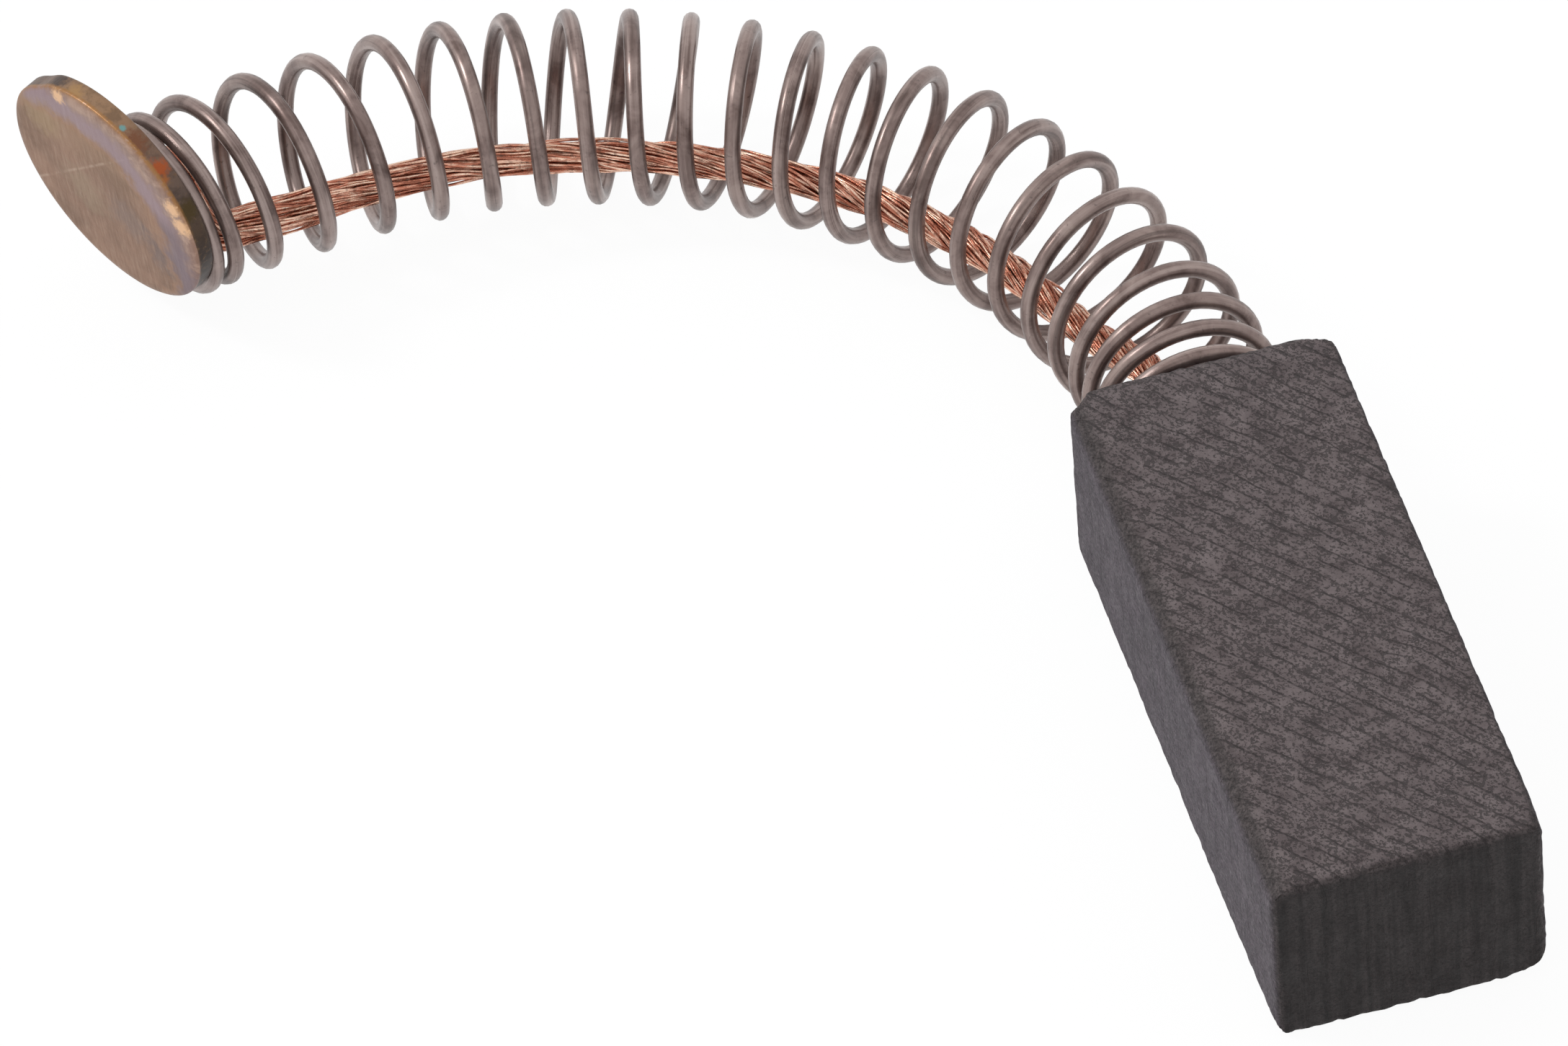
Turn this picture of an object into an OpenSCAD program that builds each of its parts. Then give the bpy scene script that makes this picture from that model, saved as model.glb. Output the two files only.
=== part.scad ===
// Carbon brush for a small electric motor.
// A pressed carbon-graphite block, a copper shunt rope tamped into its rear end, a helical steel
// spring around the rope and a brass contact cap crimped on the free end of the rope.
// The origin is the centre of the wear face, which looks to -Y. The block runs back along +Y, its
// width lies along X and its thickness along Z. The spring leaves the rear end along +Y and bends
// round to -X in a plane that is tilted a few degrees against the block.

/* [Carbon block] */
// width of the block, across X
block_width = 8.0; // [5:0.1:12]
// thickness of the block, along Z
block_thick = 6.1; // [4:0.1:9]
// length of the block from the wear face to the rear end
block_length = 20.2; // [10:0.1:32]
// bevel along the upper left long edge
edge_left = 0.55; // [0.1:0.05:1]
// bevel along the other long edges
edge_bevel = 0.28; // [0.1:0.02:0.8]
// height of the worn lower right edge
worn_height = 0.9; // [0.2:0.05:1.5]
// width of the worn lower right edge
worn_width = 1.8; // [0.5:0.1:3]
// corner knocked off at the rear right, across the width
chip_across = 1.3; // [0.2:0.1:2.5]
// corner knocked off at the rear right, along the length
chip_along = 0.65; // [0.2:0.05:2]
// bevel around the wear face
face_bevel = 0.16; // [0.05:0.01:0.5]
// bevel around the rear end
rear_bevel = 0.3; // [0.05:0.05:0.8]

/* [Shunt fixing] */
// bore in the rear end that takes the shunt and its tamping
socket_diameter = 2.6; // [1.8:0.1:3.5]
// depth of that bore
socket_depth = 6.0; // [3:0.5:10]
// clearance between pieces that sit in one another
fit_gap = 0.01; // [0.005:0.005:0.05]

/* [Shunt] */
// diameter over the strands of the copper rope
shunt_diameter = 1.1; // [0.8:0.05:1.5]
// number of strands laid round the rope
strands = 7; // [5:1:9]
// depth of the furrows between the strands
furrow = 0.12; // [0.02:0.01:0.2]
// length in which a strand goes once round the rope
lay_length = 9.0; // [5:0.5:20]
// length of rope held in the tamping
shunt_seat = 5.0; // [2:0.5:9]
// how far the rope hangs off the spring axis
shunt_hang = 1.45; // [0:0.05:1.6]
// length over which the rope leaves the spring axis
hang_run = 7.0; // [3:0.5:12]
// length of spring in which the rope turns up into the ferrule
rise_run = 2.8; // [2:0.2:6]

/* [Spring] */
// wire diameter
wire_diameter = 0.5; // [0.3:0.05:0.7]
// outside diameter of the coils
spring_outside = 5.8; // [5:0.1:6.4]
// number of turns
turns = 23.6; // [16:0.2:30]
// pitch of the most open coils
open_pitch = 2.0; // [1.2:0.05:2.6]
// air left between two coils where the spring is closed
closed_air = 0.05; // [0.02:0.01:0.2]
// straight length before the bend
lead_length = 1.1; // [0:0.1:4]
// straight length after the bend
tail_length = 6.0; // [3:0.1:9]
// radius of the bend, at the spring axis
bend_radius = 17.9; // [12:0.1:40]
// tilt of the bend against the block: how far it sinks behind the block
sink_angle = 3.9; // [0:0.1:8]
// tilt of the bend against the block: how far it rises towards the cap
rise_angle = 4.0; // [0:0.1:8]
// length over which the first coils, flat on the block, take up that tilt
settle_length = 3.0; // [1:0.5:6]
// length of spring whose coils lean over with the cap
lean_length = 5.0; // [2:0.1:8]
// how far the last coils lean in the plane of the bend
lean_side_angle = 12; // [0:1:20]
// how far the last coils lean downwards
lean_down_angle = 4.5; // [0:0.5:10]
// how far the last coils have slipped off the spring axis, on the side away from the cap axis
slip = 0.2; // [0:0.02:0.24]
// length of spring over which they slip
slip_length = 2.4; // [1:0.2:5]

/* [Contact cap] */
// diameter of the contact disc
cap_diameter = 7.7; // [6.5:0.1:9]
// thickness of the contact disc
cap_thick = 0.68; // [0.5:0.02:1.5]
// width of the shallow bevel round the contact face
cap_bevel = 0.34; // [0.1:0.02:0.5]
// height of that bevel
cap_bevel_height = 0.12; // [0.04:0.02:0.3]
// bevel round the back of the disc
cap_back_bevel = 0.08; // [0.02:0.02:0.2]
// diameter of the ferrule behind the disc
ferrule_diameter = 1.5; // [1.4:0.05:1.65]
// length of that ferrule
ferrule_length = 0.8; // [0.6:0.1:2]
// distance from the spring axis to the cap axis
cap_shift = 1.22; // [0:0.02:1.3]
// direction of that distance round the spring axis
cap_shift_turn = 116; // [90:1:150]
// tilt of the cap against the last coil, in the plane of the bend
cap_side = 7.3; // [0:0.1:12]
// tilt of the cap against the last coil, downwards
cap_down = 6.2; // [0:0.1:10]

/* [Hidden] */
wire_r = wire_diameter / 2;
coil_r = spring_outside / 2 - wire_r;
closed_pitch = wire_diameter + closed_air;
seg_turn = 22;
wire_sides = 8;
wire_steps = round(turns * seg_turn);
shunt_r = shunt_diameter / 2;
lobe_sides = 3;
shunt_step = 0.5;
smooth = 96;

// how open the coils are along the spring: 0 is closed, 1 has the full pitch
opening = [[0, 0], [0.02, 0.32], [0.045, 0.4], [0.085, 0.35], [0.15, 0.765], [0.25, 0.94], [0.38, 0.88],
    [0.53, 0.765], [0.68, 0.795], [0.825, 1], [0.877, 0.99], [0.934, 0.42], [0.944, 0.03], [1, 0]];

function pitch(f) = closed_pitch + (open_pitch - closed_pitch) * lookup(f, opening);
run = [for (i = 0, s = 0; i <= wire_steps; s = s + pitch((i + 0.5) / wire_steps) * turns / wire_steps,
    i = i + 1) s];
span = run[wire_steps];
bend_end = span - tail_length;

function unit(v) = v / norm(v);
function ease(x) = let (c = max(0, min(1, x))) c * c * (3 - 2 * c);
function swing(s) = (max(lead_length, min(s, bend_end)) - lead_length) / bend_radius * 180 / PI;

// a direction in the plane of the bend, turned with that plane by the share k of its tilt
function tilt(v, k = 1) = let (a = sink_angle * k, b = rise_angle * k, z = v[2] * cos(b) - v[0] * sin(b))
    [v[0] * cos(b) + v[2] * sin(b), v[1] * cos(a) + z * sin(a), z * cos(a) - v[1] * sin(a)];

// spring axis: point, direction of travel, the side that looks into the bend and the upper side
function ahead(s, k = 1) = tilt([-sin(swing(s)), cos(swing(s)), 0], k);
function inward(s, k = 1) = tilt([-cos(swing(s)), -sin(swing(s)), 0], k);
function upper(k = 1) = tilt([0, 0, 1], k);
function axis_at(s) = let (a = swing(s)) [0, block_length + wire_r, 0]
    + tilt([bend_radius * (cos(a) - 1), min(s, lead_length) + bend_radius * sin(a), 0])
    + max(0, s - bend_end) * ahead(s);

// coil frame: the first coils lie flat on the block, the last ones lean over towards the cap
function settled(s) = ease(s / settle_length);
function lean(s) = ease((s - span + lean_length) / lean_length);
function dipped(s) = let (d = lean_down_angle * lean(s), k = settled(s))
    cos(d) * ahead(s, k) - sin(d) * upper(k);
function frame_t(s) = let (y = lean_side_angle * lean(s)) cos(y) * dipped(s) + sin(y) * inward(s, settled(s));
function frame_n(s) = let (y = lean_side_angle * lean(s)) cos(y) * inward(s, settled(s)) - sin(y) * dipped(s);
function frame_b(s) = let (d = lean_down_angle * lean(s), k = settled(s))
    cos(d) * upper(k) + sin(d) * ahead(s, k);

// the last coil, and the way from the spring axis to the cap axis across it
end_t = frame_t(span);
end_n = frame_n(span);
end_b = frame_b(span);
cap_way = cos(cap_shift_turn) * end_n + sin(cap_shift_turn) * end_b;

function slipped(s) = slip * ease((s - span + slip_length) / slip_length) * cap_way;
function wire_at(i) = let (s = run[i], th = 360 * turns * i / wire_steps)
    axis_at(s) - slipped(s) + coil_r * (cos(th) * frame_n(s) + sin(th) * frame_b(s));

// contact cap: its axis, and the centre of its back face where it meets the last coil
cap_axis = unit(end_t + tan(cap_side) * end_n - tan(cap_down) * end_b);
cap_off = cap_shift * cap_way;
cap_reach = max([for (i = [wire_steps - 2 * seg_turn:wire_steps])
    (wire_at(i) - axis_at(span)) * cap_axis]) + wire_r + fit_gap;
cap_back = axis_at(span) + cap_off + cap_axis * (cap_reach - cap_off * cap_axis);
cap_yaw = atan2(cap_axis[1], cap_axis[0]);
cap_pitch = acos(cap_axis[2]);

// shunt route: out of the block, along the low inner side of the coils, up into the ferrule
mouth = cap_back - cap_axis * ferrule_length;
turn_off = span - rise_run;
function hung(s) = axis_at(s) + shunt_hang * ease(s / hang_run) * unit(0.72 * inward(s) - 0.69 * upper());
function bezier(a, b, c, d, t) = a * pow(1 - t, 3) + b * 3 * t * pow(1 - t, 2)
    + c * 3 * t * t * (1 - t) + d * pow(t, 3);
turn_from = hung(turn_off);
reach = norm(mouth - turn_from);
route = concat(
    [for (y = [-shunt_seat:shunt_step:-0.01]) [0, block_length + y, 0]],
    [for (s = [0:shunt_step:turn_off]) hung(s)],
    [for (k = [1:8]) bezier(turn_from, turn_from + ahead(turn_off) * reach * 0.4,
        mouth - cap_axis * reach * 0.4, mouth, k / 8)],
    [for (k = [1:3]) mouth + cap_axis * (ferrule_length - fit_gap) * k / 3]);

// sweep a closed outline along a list of points; ring(i) gives the outline at point i
module loft(rings, sides) {
    n = len(rings);
    body = [for (i = [0:n - 2]) for (k = [0:sides - 1]) let (a = i * sides, j = (k + 1) % sides)
        for (f = [[a + k, a + sides + j, a + j], [a + k, a + sides + k, a + sides + j]]) f];
    caps = [[for (k = [0:sides - 1]) k], [for (k = [sides - 1:-1:0]) (n - 1) * sides + k]];
    polyhedron([for (r = rings) for (p = r) p], concat(body, caps), convexity = 10);
}

function heading(p, i) = unit(p[min(i + 1, len(p) - 1)] - p[max(i - 1, 0)]);

module block_body() {
    w = block_width / 2;
    h = block_thick / 2;
    translate([0, block_length, 0]) rotate([90, 0, 0]) linear_extrude(block_length)
        polygon([[-w + edge_bevel, -h], [w - worn_width, -h], [w - worn_width * 0.4, -h + worn_height * 0.3],
            [w, -h + worn_height], [w, h - edge_bevel], [w - edge_bevel, h], [-w + edge_left, h],
            [-w + edge_left * 0.3, h - edge_left * 0.3], [-w, h - edge_left], [-w, -h + edge_bevel]]);
}

// wedge that bevels one edge of a block end at y; turn: side the edge lies on, reach: its distance
module end_wedge(y, turn, size, reach) {
    translate([0, y, 0]) rotate([0, turn, 0]) translate([0, 0, reach]) rotate([45, 0, 0])
        cube([block_width * 2, size * sqrt(2), size * sqrt(2)], center = true);
}

module carbon_block() {
    color([0.24, 0.22, 0.21]) difference() {
        block_body();
        for (t = [0, 180]) {
            end_wedge(0, t, face_bevel, block_thick / 2);
            end_wedge(block_length, t, rear_bevel, block_thick / 2);
        }
        for (t = [90, 270]) {
            end_wedge(0, t, face_bevel, block_width / 2);
            end_wedge(block_length, t, rear_bevel, block_width / 2);
        }
        translate([block_width / 2, block_length, -block_thick]) linear_extrude(block_thick * 2)
            polygon([[1, 1], [-chip_across, 1], [-chip_across, 0], [0, -chip_along], [1, -chip_along]]);
        translate([0, block_length, 0]) rotate([90, 0, 0])
            translate([0, 0, -1]) cylinder(d = socket_diameter, h = socket_depth + 1, $fn = smooth);
    }
}

module tamping() {
    color([0.45, 0.27, 0.19]) translate([0, block_length, 0]) rotate([90, 0, 0]) difference() {
        cylinder(d = socket_diameter - 2 * fit_gap, h = socket_depth - fit_gap, $fn = smooth);
        translate([0, 0, -1]) cylinder(d = shunt_diameter + 2 * fit_gap, h = shunt_seat + fit_gap + 1,
            $fn = smooth);
    }
}

module shunt() {
    sides = strands * lobe_sides;
    color([0.72, 0.42, 0.29]) loft([for (i = [0:len(route) - 1])
        let (t = heading(route, i), e = unit([0, 0, 1] - t[2] * t), f = cross(t, e))
        [for (k = [0:sides - 1]) let (a = 360 * k / sides + 360 * i * shunt_step / lay_length,
            r = shunt_r * (1 - furrow * (k % lobe_sides == 0 ? 1 : 0)))
            route[i] + r * (cos(a) * e + sin(a) * f)]], sides);
}

module spring() {
    path = [for (i = [0:wire_steps]) wire_at(i)];
    color([0.44, 0.41, 0.38]) loft([for (i = [0:wire_steps])
        let (t = heading(path, i), o = path[i] - axis_at(run[i]), e = unit(o - (o * t) * t), f = cross(t, e))
        [for (k = [0:wire_sides - 1]) let (a = 360 * (k + 0.5) / wire_sides)
            path[i] + wire_r * (cos(a) * e + sin(a) * f)]], wire_sides);
}

module contact_cap() {
    r = cap_diameter / 2;
    bore = shunt_r + fit_gap;
    color([0.66, 0.53, 0.33]) translate(cap_back) rotate([0, cap_pitch, cap_yaw]) rotate_extrude($fn = smooth)
        polygon([[0, 0], [bore, 0], [bore, -ferrule_length], [ferrule_diameter / 2, -ferrule_length],
            [ferrule_diameter / 2, 0], [r - cap_back_bevel, 0], [r, cap_back_bevel],
            [r, cap_thick - cap_bevel_height], [r - cap_bevel * 0.3, cap_thick - cap_bevel_height * 0.3],
            [r - cap_bevel, cap_thick], [0, cap_thick]]);
}

carbon_block();
tamping();
shunt();
spring();
contact_cap();
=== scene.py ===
"""Looks of the carbon brush: graphite block, steel spring, copper rope and tarnished brass cap.

Sizes are in millimetres, as in the part's source, and turn into metres when a mesh is made.
The pieces follow the same paths as the solids: the bent axis of the spring, the coils around
it and the rope that runs inside them.
"""

import math

import bpy
import numpy as np
from mathutils import Matrix, Vector, noise


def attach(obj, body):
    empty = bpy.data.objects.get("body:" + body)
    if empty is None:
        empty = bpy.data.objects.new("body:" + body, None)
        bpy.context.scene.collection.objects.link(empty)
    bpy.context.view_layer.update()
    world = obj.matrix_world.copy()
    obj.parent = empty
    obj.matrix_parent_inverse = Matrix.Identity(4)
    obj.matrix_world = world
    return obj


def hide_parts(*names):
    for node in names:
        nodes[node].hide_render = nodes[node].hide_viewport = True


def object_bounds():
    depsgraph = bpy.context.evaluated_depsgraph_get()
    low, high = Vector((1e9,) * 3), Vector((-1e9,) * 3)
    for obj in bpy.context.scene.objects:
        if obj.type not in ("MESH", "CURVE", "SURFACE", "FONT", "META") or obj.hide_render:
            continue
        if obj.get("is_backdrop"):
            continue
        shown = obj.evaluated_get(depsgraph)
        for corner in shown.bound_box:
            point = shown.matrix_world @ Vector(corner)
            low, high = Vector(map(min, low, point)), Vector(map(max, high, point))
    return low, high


MM = 0.001
rng = np.random.default_rng(7)

# ---------------------------------------------------------------- sizes, in millimetres
BLOCK_WIDTH, BLOCK_THICK, BLOCK_LENGTH = 8.0, 6.1, 20.2
CHIP_ACROSS, CHIP_ALONG = 1.3, 0.65  # corner knocked off at the rear right
LEFT_CHIP = 0.98  # corner broken off at the upper rear left
EDGE_REACH = 2.8  # no worn edge reaches further over a face than this

WIRE = 0.5  # spring wire diameter
WIRE_R = WIRE / 2
COIL_R = 5.8 / 2 - WIRE_R
TURNS = 23.6
CLOSED_PITCH, OPEN_PITCH = 0.55, 2.0
CAD_STEPS = 22  # steps to a turn in the solid spring, which fix its length
FINE_STEPS, WIRE_SIDES = 56, 14  # steps to a turn and sides of the visible wire
# how open the coils are, from the block (0) to the cap (1)
OPENING = [
    (0, 0), (0.02, 0.32), (0.045, 0.4), (0.085, 0.35), (0.15, 0.765), (0.25, 0.94), (0.38, 0.88),
    (0.53, 0.765), (0.68, 0.795), (0.825, 1), (0.877, 0.99), (0.934, 0.42), (0.944, 0.03), (1, 0),
]  # fmt: skip
LEAD, TAIL, BEND_R = 1.1, 6.0, 17.9  # straight start, straight end and radius of the bend
SINK, RISE, SETTLE = 3.9, 4.0, 3.0  # tilt of the bend against the block, taken up over SETTLE
LEAN_LENGTH, LEAN_SIDE, LEAN_DOWN = 5.0, 12, 4.5  # the last coils lean over with the cap
SLIP, SLIP_LENGTH = 0.2, 2.4  # and have slipped sideways under it

CAP_R, CAP_THICK, CAP_BEVEL, CAP_BEVEL_RISE, CAP_BACK_BEVEL = 7.7 / 2, 0.68, 0.34, 0.12, 0.08
FERRULE_R, FERRULE_LENGTH = 0.75, 0.8
CAP_SHIFT, CAP_SHIFT_TURN = 1.22, 116
CAP_SIDE, CAP_DOWN = 7.3, 6.2
FIT = 0.01

ROPE_R, ROPE_SEAT = 0.55, 5.0
ROPE_HANG, HANG_RUN = 1.45, 7.0  # the rope leaves the spring's axis by ROPE_HANG within HANG_RUN
HANG_INWARD, HANG_DOWN = 0.72, 0.69  # direction in which it hangs
RISE_RUN = 1.9  # it turns up to the ferrule later than the solid rope does, which takes 2.8
STRANDS, STRAND_WIRES = 6, 9
LOOSE_LAY, TIGHTER_LAY = 0.035, 0.085  # turns to a millimetre near the cap, and how many more at the block


# ---------------------------------------------------------------- paths
def unit(v):
    """The same direction at length 1."""
    v = np.asarray(v, float)
    return v / np.linalg.norm(v, axis=-1, keepdims=True)


def ease(x):
    """Rises smoothly from 0 at 0 to 1 at 1."""
    x = np.clip(x, 0, 1)
    return x * x * (3 - 2 * x)


def tilt(v, share=1.0):
    """A direction in the plane of the bend, turned with that plane by a share of its tilt."""
    v = np.asarray(v, float)
    a, b = np.radians(SINK) * share, np.radians(RISE) * share
    z = v[..., 2] * np.cos(b) - v[..., 0] * np.sin(b)
    x = v[..., 0] * np.cos(b) + v[..., 2] * np.sin(b)
    y = v[..., 1]
    return np.stack([x, y * np.cos(a) + z * np.sin(a), z * np.cos(a) - y * np.sin(a)], -1)


def spring_run(steps_per_turn):
    """Turn count and distance along the axis at each step of the wire."""
    n = round(TURNS * steps_per_turn)
    middle = (np.arange(n) + 0.5) / n
    share = np.interp(middle, [p[0] for p in OPENING], [p[1] for p in OPENING])
    pitch = CLOSED_PITCH + (OPEN_PITCH - CLOSED_PITCH) * share
    return np.linspace(0, TURNS, n + 1), np.concatenate([[0], np.cumsum(pitch * TURNS / n)])


SPAN = spring_run(CAD_STEPS)[1][-1]
BEND_END = SPAN - TAIL


def swing(s):
    """Angle that the bend has turned through at a distance s along the axis."""
    return (np.maximum(LEAD, np.minimum(s, BEND_END)) - LEAD) / BEND_R


def ahead(s, share=1.0):
    """Direction of the axis."""
    a = swing(s)
    return tilt(np.stack([-np.sin(a), np.cos(a), 0 * a], -1), share)


def inward(s, share=1.0):
    """Direction to the inner side of the bend."""
    a = swing(s)
    return tilt(np.stack([-np.cos(a), -np.sin(a), 0 * a], -1), share)


def upper(s, share=1.0):
    """Direction square to the plane of the bend."""
    return tilt(np.stack([0 * s, 0 * s, 1 + 0 * s], -1), share)


def axis_at(s):
    """Point of the spring's axis: straight out of the block, round the bend and straight on."""
    s = np.asarray(s, float)
    a = swing(s)
    flat = np.stack([BEND_R * (np.cos(a) - 1), np.minimum(s, LEAD) + BEND_R * np.sin(a), 0 * a], -1)
    root = np.array([0, BLOCK_LENGTH + WIRE_R, 0])
    return root + tilt(flat) + np.maximum(0, s - BEND_END)[..., None] * ahead(s)


def coil_frame(s):
    """Axis, inner side and upper side of the coil at s: flat on the block, leaning at the cap."""
    s = np.asarray(s, float)
    share, lean = ease(s / SETTLE), ease((s - SPAN + LEAN_LENGTH) / LEAN_LENGTH)
    down, side = np.radians(LEAN_DOWN) * lean[..., None], np.radians(LEAN_SIDE) * lean[..., None]
    dipped = np.cos(down) * ahead(s, share) - np.sin(down) * upper(s, share)
    top = np.cos(down) * upper(s, share) + np.sin(down) * ahead(s, share)
    along = np.cos(side) * dipped + np.sin(side) * inward(s, share)
    return along, np.cos(side) * inward(s, share) - np.sin(side) * dipped, top


END_ALONG, END_SIDE, END_TOP = coil_frame(SPAN)
# the way in which the cap has shifted off the spring's axis
CAP_WAY = (
    math.cos(math.radians(CAP_SHIFT_TURN)) * END_SIDE
    + math.sin(math.radians(CAP_SHIFT_TURN)) * END_TOP
)


def wire_path(steps_per_turn):
    """Middle line of the spring wire."""
    turn, s = spring_run(steps_per_turn)
    _, side, top = coil_frame(s)
    th = (2 * np.pi * turn)[:, None]
    slipped = SLIP * ease((s - SPAN + SLIP_LENGTH) / SLIP_LENGTH)[:, None] * CAP_WAY
    return axis_at(s) - slipped + COIL_R * (np.cos(th) * side + np.sin(th) * top)


CAP_AXIS = unit(
    END_ALONG + math.tan(math.radians(CAP_SIDE)) * END_SIDE - math.tan(math.radians(CAP_DOWN)) * END_TOP
)
CAP_OFFSET = CAP_SHIFT * CAP_WAY
# the back of the disc touches the highest point of the last two coils
LAST_COILS = wire_path(CAD_STEPS)[-2 * CAD_STEPS - 1:]
CAP_REACH = ((LAST_COILS - axis_at(SPAN)) @ CAP_AXIS).max() + WIRE_R + FIT
CAP_BACK = axis_at(SPAN) + CAP_OFFSET + CAP_AXIS * (CAP_REACH - CAP_OFFSET @ CAP_AXIS)
# the cap's own directions: across the face and up the face
CAP_UP = unit(np.array([0, 0, 1.0]) - CAP_AXIS[2] * CAP_AXIS)
CAP_ACROSS = np.cross(CAP_UP, CAP_AXIS)


def rope_route(step):
    """Points down the middle of the rope, from the block to the ferrule, `step` apart."""
    turn_off = SPAN - RISE_RUN
    mouth = CAP_BACK - CAP_AXIS * FERRULE_LENGTH

    def hung(s):
        s = np.asarray(s, float)
        away = unit(HANG_INWARD * inward(s) - HANG_DOWN * upper(s))
        return axis_at(s) + ROPE_HANG * ease(s / HANG_RUN)[..., None] * away

    seat = [(0, BLOCK_LENGTH + y, 0) for y in np.arange(-ROPE_SEAT, -0.01, 0.25)]
    start, reach = hung(turn_off), np.linalg.norm(mouth - hung(turn_off))
    # the last stretch is one curve that leaves along the axis and enters along the cap's axis
    a, b = start, start + ahead(turn_off) * reach * 0.4
    c, d = mouth - CAP_AXIS * reach * 0.4, mouth
    t = np.linspace(0, 1, 25)[1:, None]
    rise = a * (1 - t) ** 3 + 3 * b * t * (1 - t) ** 2 + 3 * c * t * t * (1 - t) + d * t**3
    inside = [mouth + CAP_AXIS * (FERRULE_LENGTH - FIT) * k / 3 for k in (1, 2, 3)]
    points = np.vstack([seat, hung(np.arange(0, turn_off, 0.25)), rise, inside])
    gone = np.concatenate([[0], np.cumsum(np.linalg.norm(np.diff(points, axis=0), axis=1))])
    even = np.linspace(0, gone[-1], round(gone[-1] / step) + 1)
    return even, np.stack([np.interp(even, gone, points[:, k]) for k in range(3)], 1)


def carried_frame(points, first_up):
    """Directions across a path that turn as little as possible along it."""
    heading = unit(np.gradient(points, axis=0))
    side = np.zeros_like(points)
    v = np.array(first_up, float)
    for i, t in enumerate(heading):
        v = unit(v - (v @ t) * t)
        side[i] = v
    return heading, side, np.cross(heading, side)


# ---------------------------------------------------------------- meshes
def piece(name, points, faces, material, replaces, uv=None, zone=None):
    """A mesh from millimetre points that rides on the part and stands for the named solids."""
    mesh = bpy.data.meshes.new(name)
    mesh.from_pydata((np.asarray(points) * MM).tolist(), [], [list(map(int, f)) for f in faces])
    mesh.update()
    corner = np.zeros(len(mesh.loops), int)
    mesh.loops.foreach_get("vertex_index", corner)
    if uv is not None:
        layer = mesh.uv_layers.new(name="place")
        layer.data.foreach_set("uv", np.asarray(uv, np.float32)[corner].ravel())
    if zone is not None:
        layer = mesh.color_attributes.new(name="zone", type="FLOAT_COLOR", domain="POINT")
        colours = np.column_stack([zone, np.ones(len(zone))]).astype(np.float32)
        layer.data.foreach_set("color", colours.ravel())
    mesh.polygons.foreach_set("use_smooth", [True] * len(mesh.polygons))
    mesh.materials.append(material)
    thing = bpy.data.objects.new(name, mesh)
    bpy.context.scene.collection.objects.link(thing)
    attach(thing, "root")
    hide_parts(*replaces)


def rings(count, around, flipped=False):
    """Faces between rings of points that follow one another, or the same faces turned over."""
    faces = []
    for i in range(count - 1):
        for j in range(around):
            here, there, k = i * around, (i + 1) * around, (j + 1) % around
            if flipped:
                faces.append((here + j, there + j, there + k, here + k))
            else:
                faces.append((here + j, here + k, there + k, there + j))
    return faces


def tube(points, radius, sides, first_up, number=0, round_ends=False):
    """Points, faces and places (length along, wire number) of a round tube along a path."""
    heading, side, top = carried_frame(points, first_up)
    radius = np.broadcast_to(radius, len(points)).astype(float)
    if round_ends:  # the cut ends of the wire are worn round
        radius = radius.copy()
        radius[[0, -1]] *= 0.72
    k = 2 * np.pi * np.arange(sides) / sides
    ring = np.cos(k)[None, :, None] * side[:, None] + np.sin(k)[None, :, None] * top[:, None]
    skin = (points[:, None] + radius[:, None, None] * ring).reshape(-1, 3)
    n = len(points)
    faces = rings(n, sides)
    faces.append(tuple(range(sides - 1, -1, -1)))
    faces.append(tuple(range((n - 1) * sides, n * sides)))
    gone = np.concatenate([[0], np.cumsum(np.linalg.norm(np.diff(points, axis=0), axis=1))])
    place = np.stack([np.repeat(gone, sides), np.tile(number + 0.5 * np.arange(sides) / sides, n)], 1)
    return skin, faces, place


def joined(parts):
    """Several (points, faces, places) as one."""
    points, faces, places, start = [], [], [], 0
    for p, f, uv in parts:
        points.append(p)
        places.append(uv)
        faces += [tuple(i + start for i in face) for face in f]
        start += len(p)
    return np.vstack(points), faces, np.vstack(places)


def wander(x, seed, scale):
    """Smooth noise from -1 to 1 at each x."""
    return np.array([noise.noise(Vector((v / scale, seed * 7.31, seed * 1.7))) for v in x])


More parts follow.
